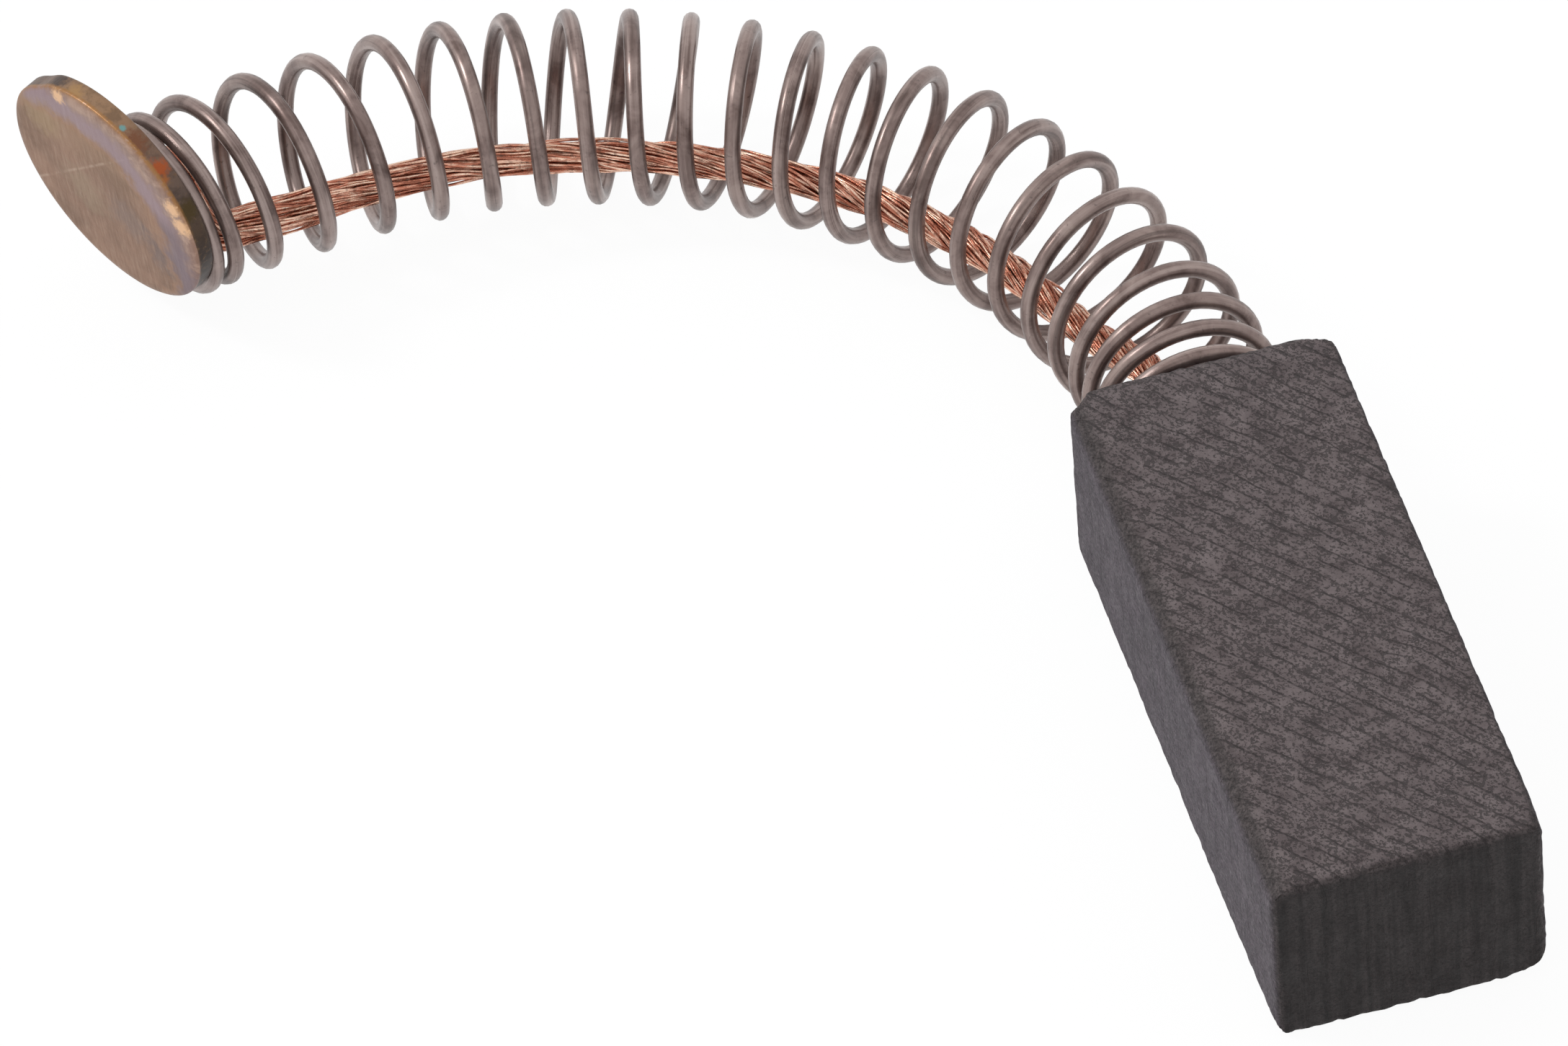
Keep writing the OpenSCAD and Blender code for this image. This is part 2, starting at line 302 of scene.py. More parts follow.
# ---------------------------------------------------------------- materials
class Finish:
    """One procedural material: a Principled shader and the node graph that feeds it."""

    def __init__(self, name, **constants):
        self.material = bpy.data.materials.new(name)
        self.material.use_nodes = True
        self.tree = self.material.node_tree
        self.shader = self.tree.nodes["Principled BSDF"]
        for key, value in constants.items():
            self.shader.inputs[key.replace("_", " ")].default_value = value

    def put(self, socket, value):
        if isinstance(value, bpy.types.NodeSocket):
            self.tree.links.new(value, socket)
        else:
            socket.default_value = value

    def add(self, kind, inputs=None, **settings):
        made = self.tree.nodes.new("ShaderNode" + kind)
        for key, value in settings.items():
            setattr(made, key, value)
        for key, value in (inputs or {}).items():
            self.put(made.inputs[key], value)
        return made

    def place(self):
        """Object coordinates in millimetres."""
        return self.turned(self.add("TexCoord").outputs["Object"], scale=(1000, 1000, 1000))

    def uv(self):
        return self.add("UVMap", uv_map="place").outputs["UV"]

    def turned(self, vector, scale=(1, 1, 1), degrees=(0, 0, 0)):
        rotation = [math.radians(d) for d in degrees]
        made = self.add("Mapping", {"Vector": vector, "Scale": scale, "Rotation": rotation})
        return made.outputs["Vector"]

    def noise(self, vector, scale, detail=3.0, rough=0.5, warp=0.0):
        inputs = {"Scale": scale, "Detail": detail, "Roughness": rough, "Distortion": warp}
        return self.add("TexNoise", {"Vector": vector, **inputs}).outputs["Fac"]

    def ramp(self, factor, *stops):
        """A colour or grey for each value of a factor; stops are (position, colour or grey)."""
        made = self.add("ValToRGB", {"Fac": factor})
        band = made.color_ramp
        while len(band.elements) < len(stops):
            band.elements.new(0.5)
        for element, (position, colour) in zip(band.elements, sorted(stops, key=lambda s: s[0])):
            element.position = position
            element.color = (*colour, 1) if isinstance(colour, tuple) else (*[colour] * 3, 1)
        return made.outputs["Color"]

    def maths(self, operation, a, b=0.0):
        made = self.add("Math", operation=operation)
        self.put(made.inputs[0], a)
        self.put(made.inputs[1], b)
        return made.outputs[0]

    def plus(self, a, b):
        return self.maths("ADD", a, b)

    def minus(self, a, b):
        return self.maths("SUBTRACT", a, b)

    def times(self, a, b):
        return self.maths("MULTIPLY", a, b)

    def over(self, a, b):
        return self.maths("DIVIDE", a, b)

    def mix(self, factor, a, b):
        """Colour a where the factor is 0 and colour b where it is 1."""
        made = self.add("Mix", data_type="RGBA")
        self.put(made.inputs["Factor"], factor)
        for index, value in ((6, a), (7, b)):  # the Mix node's two colour inputs
            self.put(made.inputs[index], (*value, 1) if isinstance(value, tuple) else value)
        return made.outputs[2]

    def zones(self):
        """The three shares that the mesh stores at each point."""
        stored = self.add("Attribute", attribute_name="zone").outputs["Color"]
        return self.add("SeparateColor", {"Color": stored}).outputs[:3]

    def vector_maths(self, operation, vector, fixed=(0, 0, 0)):
        return self.add("VectorMath", {0: vector, 1: tuple(fixed)}, operation=operation)

    def span(self, vector, start, direction):
        """How far a place lies from `start` along `direction`."""
        offset = self.vector_maths("SUBTRACT", vector, start).outputs[0]
        return self.vector_maths("DOT_PRODUCT", offset, direction).outputs["Value"]

    def spot(self, vector, where, size, ragged):
        """1 within `size` of a place and 0 beyond it, with an edge roughened by a noise."""
        gap = self.vector_maths("DISTANCE", vector, where).outputs["Value"]
        uneven = self.times(self.minus(ragged, 0.5), 1.1)
        return self.ramp(self.plus(self.over(gap, 2 * size), uneven), (0.24, 1.0), (0.62, 0.0))

    def parts(self, vector):
        return self.add("SeparateXYZ", {"Vector": vector}).outputs[:3]

    def dressed(self, colour, roughness, height, depth):
        """The material, with its colour, roughness and a relief `depth` millimetres deep."""
        self.put(self.shader.inputs["Base Color"], colour)
        self.put(self.shader.inputs["Roughness"], roughness)
        bump = self.add("Bump", {"Height": height, "Distance": depth * MM, "Strength": 1.0})
        self.put(self.shader.inputs["Normal"], bump.outputs["Normal"])
        return self.material


def graphite():
    """Pressed carbon: pale flakes, dark pores, slanting grinding marks, a streaked wear face and painted
    shade along the rounded edges.
    """
    f = Finish("graphite", Metallic=0.0, Specular_IOR_Level=0.35)
    at = f.place()
    wear_face, side, edge = f.zones()
    flakes = f.noise(at, 1.3, 7.0, 0.70, 0.4)
    # grinding marks run slantwise over the wide face, about two to a millimetre, thin and broken
    slant = f.turned(at, degrees=(0, 0, 51))
    bent = f.noise(slant, 0.55, 2.0, 0.5)
    _, across, _ = f.parts(slant)
    phase = f.plus(f.times(across, 2.1), f.times(bent, 1.1))
    crest = f.maths("ABSOLUTE", f.minus(f.maths("FRACT", phase), 0.5))
    broken = f.ramp(f.noise(f.turned(slant, scale=(0.8, 2.4, 1)), 1.0, 5.0, 0.7), (0.42, 0.0), (0.53, 1.0))
    lines = f.times(f.ramp(crest, (0.0, 1.0), (0.03, 1.0), (0.075, 0.0)), broken)
    # pores gather along the marks and in patches
    pore_field = f.noise(f.turned(slant, scale=(0.85, 1.1, 1)), 11.0, 3.0, 0.7, 0.15)
    nearby = f.times(f.ramp(crest, (0.0, 1.0), (0.3, 0.0)), 0.035)
    patchy = f.times(f.noise(at, 2.1, 4.0, 0.6), 0.30)
    pores = f.ramp(f.minus(f.plus(pore_field, patchy), nearby), (0.580, 1.0), (0.618, 0.0))
    dark, middle, pale = (0.088, 0.069, 0.071), (0.124, 0.099, 0.101), (0.156, 0.126, 0.128)
    top = f.ramp(flakes, (0.36, dark), (0.50, middle), (0.64, pale))
    top = f.mix(f.times(pores, 0.85), top, (0.042, 0.034, 0.034))
    top = f.mix(f.times(lines, 0.75), top, (0.034, 0.027, 0.027))
    grain = f.noise(at, 9.0, 4.0, 0.68, 0.3)
    pits = f.ramp(grain, (0.41, 1.0), (0.50, 0.0))
    flank = f.ramp(f.noise(at, 1.1, 6.0, 0.7), (0.37, (0.066, 0.054, 0.065)), (0.63, (0.112, 0.092, 0.109)))
    sand = f.noise(f.turned(at, scale=(1, 0.5, 1)), 13.0, 3.0, 0.7)
    flank = f.mix(f.ramp(sand, (0.40, 0.75), (0.49, 0.0)), flank, (0.026, 0.021, 0.025))
    flank = f.mix(f.ramp(sand, (0.58, 0.0), (0.66, 0.7)), flank, (0.200, 0.175, 0.195))
    streaks = f.noise(f.turned(at, scale=(3.4, 1, 0.16)), 1.0, 6.0, 0.66, 0.1)
    face = f.ramp(streaks, (0.37, (0.018, 0.0148, 0.0148)), (0.63, (0.055, 0.0455, 0.0455)))
    face = f.mix(f.times(pits, 0.6), face, (0.015, 0.0125, 0.0125))
    colour = f.mix(side, top, flank)
    # painted shade: the rounded edges are painted darker than the faces, broken up by the grain
    wear_and_painted_light = f.mix(f.ramp(grain, (0.42, 0.0), (0.58, 1.0)), (0.026, 0.021, 0.021), (0.078, 0.064, 0.063))
    colour = f.mix(f.times(edge, 0.85), colour, wear_and_painted_light)
    colour = f.mix(wear_face, colour, face)
    height = f.plus(f.times(flakes, 0.5), f.times(grain, 0.7))
    height = f.minus(height, f.times(pores, 0.5))
    height = f.minus(height, f.times(lines, 0.6))
    height = f.plus(height, f.times(f.times(streaks, wear_face), 0.4))
    rough = f.ramp(flakes, (0.35, 0.80), (0.65, 0.62))
    return f.dressed(colour, rough, height=height, depth=0.05)


def drawn_steel():
    """Heat-darkened spring wire: long soft drawing streaks, the pale ones partly a painted sheen, brown and
    grey patches.
    """
    f = Finish("drawn_steel", Metallic=0.65)
    uv = f.uv()
    at = f.place()
    streaks = f.noise(f.turned(uv, scale=(0.16, 13, 1)), 1.0, 4.0, 0.55)
    patches = f.noise(at, 0.75, 4.0, 0.62, 0.6)
    specks = f.noise(at, 7.0, 3.0, 0.6)
    dark, middle, pale = (0.145, 0.099, 0.088), (0.240, 0.175, 0.159), (0.330, 0.252, 0.227)
    brown = f.ramp(patches, (0.36, dark), (0.5, middle), (0.66, pale))
    # pale drawing streaks along the wire, partly a painted sheen: lighter lines that stand in for light
    # running along the wire
    colour = f.mix(f.ramp(streaks, (0.50, 0.0), (0.66, 0.6)), brown, (0.47, 0.375, 0.345))
    colour = f.mix(f.ramp(streaks, (0.34, 0.55), (0.46, 0.0)), colour, (0.070, 0.050, 0.044))
    colour = f.mix(f.ramp(specks, (0.62, 0.0), (0.72, 0.5)), colour, (0.060, 0.045, 0.041))
    rough = f.ramp(streaks, (0.3, 0.40), (0.7, 0.26))
    height = f.plus(streaks, f.times(specks, 0.3))
    return f.dressed(colour, rough, height=height, depth=0.005)


def copper_wire():
    """Bare fine copper wires: each a little brighter or browner than the next."""
    f = Finish("copper_wire", Metallic=0.88)
    uv = f.uv()
    along = f.noise(f.turned(uv, scale=(0.9, 1.9, 1)), 1.0, 4.0, 0.65)
    grain = f.noise(f.place(), 6.0, 3.0, 0.6)
    dark, middle, pale = (0.27, 0.084, 0.050), (0.63, 0.248, 0.160), (1.0, 0.71, 0.55)
    colour = f.ramp(along, (0.30, dark), (0.46, middle), (0.58, pale))
    colour = f.mix(f.ramp(grain, (0.36, 0.5), (0.47, 0.0)), colour, (0.17, 0.062, 0.040))
    rough = f.ramp(grain, (0.35, 0.38), (0.65, 0.20))
    return f.dressed(colour, rough, height=grain, depth=0.01)


def tamped_copper():
    f = Finish("tamped_copper", Metallic=0.7)
    grain = f.noise(f.place(), 5.0, 5.0, 0.7)
    colour = f.ramp(grain, (0.35, (0.10, 0.045, 0.030)), (0.65, (0.40, 0.19, 0.12)))
    return f.dressed(colour, 0.6, height=grain, depth=0.06)


def on_cap(degrees, height, radius=None):
    """A place on the cap, from the angle round its axis and the height above its back."""
    radius = CAP_R if radius is None else radius
    turn = math.radians(degrees)
    return CAP_BACK + radius * (math.cos(turn) * CAP_ACROSS + math.sin(turn) * CAP_UP) + height * CAP_AXIS


def tarnished_brass():
    """Stamped brass disc: brown face, an off-centre violet band of temper colour, a rim rubbed pale with
    painted highlights, and a side wall that darkens downwards, partly by its own tint and partly by painted
    shade.
    """
    f = Finish("tarnished_brass", Metallic=0.88, Specular_IOR_Level=0.35)
    uv = f.uv()
    at = f.place()
    wall, _, back = f.zones()
    across, up, _ = f.parts(uv)
    level = f.span(at, CAP_BACK, CAP_AXIS)
    blotch = f.noise(at, 0.55, 4.0, 0.6, 0.5)
    medium = f.noise(at, 1.9, 5.0, 0.66, 0.4)
    fine = f.noise(at, 6.5, 4.0, 0.68)
    brushed = f.noise(f.turned(uv, degrees=(0, 0, -10), scale=(8.0, 1.0, 1)), 1.0, 6.0, 0.70)
    dark, middle, pale = (0.225, 0.128, 0.080), (0.275, 0.160, 0.104), (0.315, 0.185, 0.122)
    face = f.ramp(blotch, (0.36, dark), (0.5, middle), (0.64, pale))
    face = f.mix(f.ramp(f.over(up, 4.0), (0.1, 0.0), (0.8, 0.6)), face, (0.340, 0.215, 0.118))
    # two pale clouds and two dark ones: angle, distance from the middle, size, strength, colour
    for degrees, radius, size, share, tone in [
        (-150, 1.1, 0.9, 0.70, (0.310, 0.215, 0.140)), (144, 2.9, 0.8, 0.70, (0.350, 0.235, 0.130)),
        (-33, 1.1, 0.8, 0.75, (0.230, 0.155, 0.125)), (-28, 2.7, 0.9, 0.75, (0.165, 0.115, 0.105)),
    ]:  # fmt: skip
        cloud = f.spot(at, on_cap(degrees, CAP_THICK, radius), size, medium)
        face = f.mix(f.times(cloud, share), face, tone)
    face = f.mix(f.ramp(brushed, (0.52, 0.0), (0.70, 0.4)), face, (0.40, 0.260, 0.170))
    face = f.mix(f.ramp(brushed, (0.34, 0.3), (0.46, 0.0)), face, (0.175, 0.108, 0.076))
    scratch = f.maths("ABSOLUTE", f.minus(f.span(uv, (0, 0, 0), (-0.674, 0.738, 0)), 0.92))
    scratch = f.times(f.ramp(scratch, (0.0, 0.4), (0.07, 0.0)), f.ramp(medium, (0.42, 0.1), (0.56, 1.0)))
    face = f.mix(scratch, face, (0.60, 0.46, 0.36))
    # the violet band follows a circle that is off the centre of the disc
    shifted = f.vector_maths("ADD", uv, (1.0, 1.2, 0)).outputs[0]
    band = f.vector_maths("LENGTH", shifted).outputs["Value"]
    band = f.plus(band, f.times(f.minus(blotch, 0.5), 1.3))
    band = f.over(f.plus(band, f.times(f.minus(medium, 0.5), 0.9)), 6.0)
    face = f.mix(f.ramp(band, (0.55, 0.0), (0.60, 0.55), (0.65, 0.0)), face, (0.370, 0.205, 0.118))
    violet = f.mix(f.ramp(up, (0.2, 0.0), (1.0, 1.0)), (0.205, 0.150, 0.176), (0.330, 0.238, 0.268))
    face = f.mix(f.ramp(band, (0.59, 0.0), (0.66, 0.8), (0.72, 0.85), (0.81, 0.3)), face, violet)
    # near the rim the face turns pale pink-brown: partly rubbed brass, partly a painted highlight on the rim
    wear_and_painted_light = f.times(f.ramp(band, (0.76, 0.0), (0.83, 0.65)), f.ramp(medium, (0.44, 0.05), (0.60, 1.0)))
    face = f.mix(wear_and_painted_light, face, (0.500, 0.345, 0.270))
    # bright brass-coloured spots on the bevel at the right and near the top: painted highlights where the
    # bevel catches the light
    for degrees, radius, size in ((27, 3.6, 0.32), (16, 3.62, 0.36), (111, 3.6, 0.28)):
        face = f.mix(f.spot(at, on_cap(degrees, CAP_THICK, radius), size, fine), face, (0.78, 0.50, 0.30))
    # the side wall: golden brown at the top, nearly black low down; the tint is partly its own and partly
    # painted shade, darker away from the light above
    wall_tint_and_shade = f.ramp(
        f.plus(f.over(up, 7.7), 0.5),
        (0.46, (0.040, 0.027, 0.022)), (0.60, (0.080, 0.052, 0.036)), (0.76, (0.120, 0.085, 0.070)),
        (0.92, (0.190, 0.120, 0.088)), (0.99, (0.290, 0.180, 0.110)),
    )  # fmt: skip
    side = f.mix(f.ramp(medium, (0.38, 0.6), (0.52, 0.0)), wall_tint_and_shade, f.mix(0.55, wall_tint_and_shade, (0.02, 0.014, 0.012)))
    side = f.mix(f.ramp(fine, (0.56, 0.0), (0.70, 0.5)), side, (0.22, 0.125, 0.060))
    # spots on the wall: angle, height above the back, size, colour
    spots = [
        (115, 0.28, 0.42, (0.090, 0.062, 0.052)), (101, 0.50, 0.36, (0.360, 0.215, 0.100)),
        (62, 0.45, 0.42, (0.180, 0.080, 0.046)), (46.5, 0.36, 0.30, (0.340, 0.085, 0.030)),
        (41, 0.46, 0.16, (0.300, 0.110, 0.040)), (23, 0.36, 0.40, (0.085, 0.058, 0.026)),
        (70.5, 0.40, 0.10, (0.160, 0.300, 0.290)),
    ]  # fmt: skip
    for degrees, height, size, tone in spots:
        side = f.mix(f.spot(at, on_cap(degrees, height), size, fine), side, tone)
    # a golden line where the side wall meets the bevel, strongest towards the top: a painted highlight
    rim = f.ramp(f.over(level, CAP_THICK), (0.68, 0.0), (0.77, 1.0), (0.87, 1.0), (0.96, 0.0))
    rim = f.times(rim, f.ramp(f.over(up, 4.0), (0.15, 0.15), (0.45, 1.0)))
    rim = f.times(rim, f.ramp(fine, (0.36, 0.3), (0.5, 1.0)))
    colour = f.mix(wall, face, side)
    colour = f.mix(f.times(rim, 0.85), colour, (0.330, 0.165, 0.062))
    colour = f.mix(back, colour, f.mix(0.5, side, (0.20, 0.13, 0.08)))
    rough = f.ramp(brushed, (0.3, 0.52), (0.7, 0.36))
    height = f.plus(f.times(brushed, 0.5), f.times(fine, 0.5))
    return f.dressed(colour, rough, height=height, depth=0.014)


# ---------------------------------------------------------------- graphite block
def stations(low, high, fine=0.1, coarse=0.17, margin=0.9):
    """Places along one side of the block, closer together near its two edges."""
    edge = np.arange(0, margin, fine)
    inner = np.linspace(margin, high - low - margin, round((high - low - 2 * margin) / coarse) + 1)
    return low + np.concatenate([edge, inner, (high - low) - edge[::-1]])


def block_points():
    """A fine grid of points on the six faces of the block, and which low and high faces each is on."""
    low = np.array([-BLOCK_WIDTH / 2, 0, -BLOCK_THICK / 2])
    high = np.array([BLOCK_WIDTH / 2, BLOCK_LENGTH, BLOCK_THICK / 2])
    lines = [stations(low[k], high[k]) for k in range(3)]
    size = [len(line) for line in lines]
    index = -np.ones(size, int)
    grid = np.stack(np.meshgrid(*[np.arange(n) for n in size], indexing="ij"), -1)
    skin = ((grid == 0) | (grid == np.array(size) - 1)).any(-1)
    index[skin] = np.arange(skin.sum())
    at = grid[skin]
    points = np.stack([lines[k][at[:, k]] for k in range(3)], 1)
    faces = []
    for k in range(3):
        for end in (0, size[k] - 1):
            sheet = np.take(index, end, axis=k)
            if (end == 0) == (k != 1):
                sheet = sheet.T
            a, b, c, d = sheet[:-1, :-1], sheet[1:, :-1], sheet[1:, 1:], sheet[:-1, 1:]
            faces += np.stack([a, b, c, d], -1).reshape(-1, 4).tolist()
    on_low, on_high = at == 0, at == np.array(size) - 1
    return points, faces, low, high, on_low, on_high


def worn_edge(points, low, high, first, second, radii, rough, chip, flare, seed):
    """Rounds one edge; its radii wander, grow by `flare` towards the wear face and are chipped."""
    (ka, end_a), (kb, end_b) = first, second
    along = 3 - ka - kb
    da = points[:, ka] - low[ka] if end_a < 0 else high[ka] - points[:, ka]
    db = points[:, kb] - low[kb] if end_b < 0 else high[kb] - points[:, kb]
    t = points[:, along]
    near = (da < EDGE_REACH) & (db < EDGE_REACH)
    ids = np.where(near)[0]
    wave = wander(t[ids], seed, 0.9) + 0.6 * wander(t[ids], seed + 31, 0.28)
    bite = np.maximum(0, wander(t[ids], seed + 57, 0.55) - 0.30) * chip
    grow = flare * np.exp(-((t[ids] - low[along]) / 1.0))
    ra = np.maximum(0.03, radii[0] + rough * wave + bite + grow)
    rb = np.maximum(0.03, radii[1] + rough * wave + bite + grow)
    qa, qb = (da[ids] - ra) / ra, (db[ids] - rb) / rb
    inside = (qa < 0) & (qb < 0)
    reach = np.sqrt(qa**2 + qb**2)
    pull = inside & (reach > 1)
    new_a, new_b = ra + ra * qa / reach, rb + rb * qb / reach
    ids, new_a, new_b = ids[pull], new_a[pull], new_b[pull]
    points[ids, ka] = low[ka] + new_a if end_a < 0 else high[ka] - new_a
    points[ids, kb] = low[kb] + new_b if end_b < 0 else high[kb] - new_b


def crumbled(points, before, low, high, depth=0.045):
    """Grains broken out along the edges: small dents that reach inwards only."""
    centre = (low + high) / 2
    away = np.minimum(before - low, high - before)
    second = np.sort(away, axis=1)[:, 1]
    for i in np.where(second < 0.45)[0]:
        p = Vector(points[i])
        dent = max(0.0, 0.25 + noise.noise(p * 3.1) + 0.8 * noise.noise(p * 7.0))
        share = depth * dent * (1 - second[i] / 0.45)
        for k in range(3):
            if away[i, k] < 0.45:
                points[i, k] += share * np.sign(centre[k] - points[i, k])


def broken_off(points, start, across):
    """Takes away what lies beyond a rough slanting break through `start`."""
    out = unit(np.array(across, float))
    for i in np.where((points - start) @ out > -0.25)[0]:
        p = points[i]
        rough = 0.10 * noise.noise(Vector(p * 1.6)) + 0.05 * noise.noise(Vector(p * 5.0))
        beyond = (p - start) @ out - rough
        if beyond > 0:
            points[i] = p - beyond * out


def graphite_block():
    """The block with edges rounded by wear, and at each point its shares of wear face, side and rounded edge;
    the rounded edge is painted darker as shade.
    """
    points, faces, low, high, on_low, on_high = block_points()
    before = points.copy()
    x, y, z = 0, 1, 2
    # (face, face, radii, roughness, chipping, flare): long edges, then wear face, then rear end
    for seed, (first, second, radii, rough, chip, flare) in enumerate([
        ((x, -1), (z, 1), (0.74, 0.62), 0.07, 0.10, 0.05),
        ((x, 1), (z, 1), (0.20, 0.20), 0.02, 0.08, 0.38),
        ((x, -1), (z, -1), (0.18, 0.18), 0.03, 0.10, 0.42),
        ((x, 1), (z, -1), (1.85, 0.95), 0.06, 0.10, 0.0),
        ((y, -1), (z, 1), (0.26, 0.24), 0.08, 0.30, 0.0),
        ((y, -1), (z, -1), (0.13, 0.13), 0.06, 0.25, 0.0),
        ((y, -1), (x, -1), (0.24, 0.24), 0.04, 0.12, 0.0),
        ((y, -1), (x, 1), (0.30, 0.30), 0.05, 0.20, 0.0),
        ((y, 1), (z, 1), (0.42, 0.42), 0.09, 0.45, 0.0),
        ((y, 1), (z, -1), (0.25, 0.25), 0.06, 0.30, 0.0),
        ((y, 1), (x, -1), (0.80, 0.75), 0.05, 0.20, 0.0),
        ((y, 1), (x, 1), (0.20, 0.20), 0.05, 0.25, 0.0),
    ]):  # fmt: skip
        worn_edge(points, low, high, first, second, radii, rough, chip, flare, seed + 1)
    crumbled(points, before, low, high)
    # the corner knocked off at the rear right, and the upper rear corner on the left
    broken_off(points, np.array([high[0] - CHIP_ACROSS, high[1], 0]), (CHIP_ALONG, CHIP_ACROSS, 0))
    broken_off(points, np.array([low[0] + LEFT_CHIP, high[1], high[2]]), (-1, 1, 0.7))
    moved = np.linalg.norm(points - before, axis=1)
    # the pressed faces are not quite flat: everything moves inwards a hair
    for i, p in enumerate(points):
        sink = 0.018 + 0.014 * noise.noise(Vector(p * 0.8)) + 0.010 * noise.noise(Vector(p * 4.0))
        for k in range(3):
            if on_low[i, k]:
                points[i, k] += sink
            elif on_high[i, k]:
                points[i, k] -= sink
    wear = np.clip(1.25 - points[:, 1] / 0.10, 0, 1) * on_low[:, 1]
    side = (on_low[:, 0] | on_high[:, 0]).astype(float) * np.clip(1.3 - moved / 0.25, 0, 1)
    side = np.maximum(side, on_high[:, 1] * 1.0)
    edge = np.clip(moved / 0.12, 0, 1) * (1 - wear)
    return points, faces, np.stack([wear, side, edge], 1)


# ---------------------------------------------------------------- spring and rope
def copper_rope():
    """Six loose strands of fine wires, laid right-handed; the lay opens out towards the cap."""
    gone, middle = rope_route(0.2)
    _, side, top = carried_frame(middle, (1, 0, 0))
    tight = 1 - ease((gone - 16) / 16)
    twist = np.concatenate([[0], np.cumsum((LOOSE_LAY + TIGHTER_LAY * tight[1:]) * np.diff(gone))])
    # the rope swells by a fifth near the cap and draws in again at the ferrule
    left = gone[-1] - gone
    splay = 1 + 0.22 * ease((11 - left) / 6) * (1 - ease((2.4 - left) / 1.0))

    def around(centre, radius, phase):
        return centre + radius[:, None] * (np.cos(phase)[:, None] * side + np.sin(phase)[:, None] * top)

    parts, number = [tube(middle, 0.17 * splay**2, 8, (1, 0, 0))], 1
    for k in range(STRANDS):
        lay = 2 * np.pi * (k / STRANDS + twist) + 0.30 * wander(gone, k + 3, 2.2)
        strand = around(middle, splay * (0.325 + 0.03 * wander(gone, k + 20, 1.6)), lay)
        parts.append(tube(strand, 0.085 * splay**2, 6, (1, 0, 0), number))
        number += 1
        for j in range(STRAND_WIRES):
            seed = 40 + k * STRAND_WIRES + j
            own = 2 * np.pi * (j / STRAND_WIRES + 1.2 * twist) + 1.1 * wander(gone, seed, 1.7)
            wire = around(strand, splay * (0.150 + 0.040 * wander(gone, seed + 100, 1.0)), own)
            parts.append(tube(wire, 0.036 + 0.008 * rng.random(), 5, (1, 0, 0), number))
            number += 1
    return joined(parts)


# ---------------------------------------------------------------- contact cap
def dent_at(turn):
    """How far the rim is pushed in: a hair everywhere, and a dent at the upper left."""
    waves = 0.015 * noise.noise((math.cos(turn) * 3, math.sin(turn) * 3, 5))
    return 0.09 * math.exp(-(((math.degrees(turn) - 128) / 9) ** 2)) + waves


def cap_mesh(around=160):
    """The disc and its ferrule, turned round the cap's axis: (radius, height, zone) up the profile."""
    bore = ROPE_R + FIT
    profile = [(0.001, 0.0), (bore * 0.6, 0.0), (bore, 0.0)]
    profile += [(bore, -h) for h in np.linspace(0.2, FERRULE_LENGTH - 0.08, 6)]
    profile += [(bore + 0.05, -FERRULE_LENGTH), (FERRULE_R - 0.08, -FERRULE_LENGTH)]
    profile += [(FERRULE_R, -FERRULE_LENGTH + 0.08)]
    profile += [(FERRULE_R, -h) for h in np.linspace(FERRULE_LENGTH - 0.2, 0.1, 6)]
    profile += [(FERRULE_R + 0.02, 0.0)] + [(r, 0.0) for r in np.linspace(1.4, CAP_R - 0.2, 8)]
    back_end = len(profile)
    profile += [(CAP_R - CAP_BACK_BEVEL, 0.0), (CAP_R - 0.02, 0.03), (CAP_R, CAP_BACK_BEVEL)]
    profile += [(CAP_R, h) for h in np.linspace(0.15, CAP_THICK - CAP_BEVEL_RISE - 0.03, 5)]
    wall_end = len(profile)
    for a in np.linspace(0, 90, 10):
        c, s = math.cos(math.radians(a)), math.sin(math.radians(a))
        profile.append((CAP_R - CAP_BEVEL * (1 - c), CAP_THICK - CAP_BEVEL_RISE * (1 - s)))
    bevel_end = len(profile)
    profile += [(r, CAP_THICK) for r in np.linspace(CAP_R - CAP_BEVEL - 0.06, 0.3, 22)] + [(0.001, CAP_THICK)]
    profile = np.array(profile)
    th = 2 * np.pi * np.arange(around) / around
    points, place, zone = [], [], []
    for i, (r, h) in enumerate(profile):
        kind = (back_end <= i < wall_end, wall_end <= i < bevel_end, i < back_end)
        for a in th:
            bent = r - max(0.0, dent_at(a)) * max(0.0, r / CAP_R - 0.8) * 5
            across, up = bent * math.cos(a), bent * math.sin(a)
            points.append(CAP_BACK + across * CAP_ACROSS + up * CAP_UP + h * CAP_AXIS)
            place.append((across, up))
            zone.append(kind)
    faces = rings(len(profile), around, flipped=True)
    return np.array(points), faces, np.array(place), np.array(zone, float)


# ---------------------------------------------------------------- camera, lights, table
VIEW_TURN, VIEW_HEIGHT, VIEW_ROLL = -12.11, 47.38, -5.17
AIM_ACROSS, AIM_UP, VIEW_DISTANCE, LENS = -17.502, 11.42, 427.91, 352.13
BALANCE = (-5.46, 19.39)  # where the part's weight acts, seen from above


def camera():
    """Looks at the part from the front, a little to the left and well above, with a slight roll."""
    a, e, r = (math.radians(v) for v in (VIEW_TURN, VIEW_HEIGHT, VIEW_ROLL))
    back = np.array([math.sin(a) * math.cos(e), -math.cos(a) * math.cos(e), math.sin(e)])
    right = np.array([math.cos(a), math.sin(a), 0])
    up = np.cross(back, right)
    right, up = math.cos(r) * right + math.sin(r) * up, math.cos(r) * up - math.sin(r) * right
    data = bpy.data.cameras.new("camera")
    data.lens, data.sensor_width, data.clip_start, data.clip_end = LENS, 36, 0.01, 20
    thing = bpy.data.objects.new("camera", data)
    bpy.context.scene.collection.objects.link(thing)
    where = (AIM_ACROSS * right + AIM_UP * up + VIEW_DISTANCE * back) * MM
    looking = Matrix(np.column_stack([right, up, back]).tolist()).to_4x4()
    thing.matrix_world = Matrix.Translation(where) @ looking
    bpy.context.scene.camera = thing


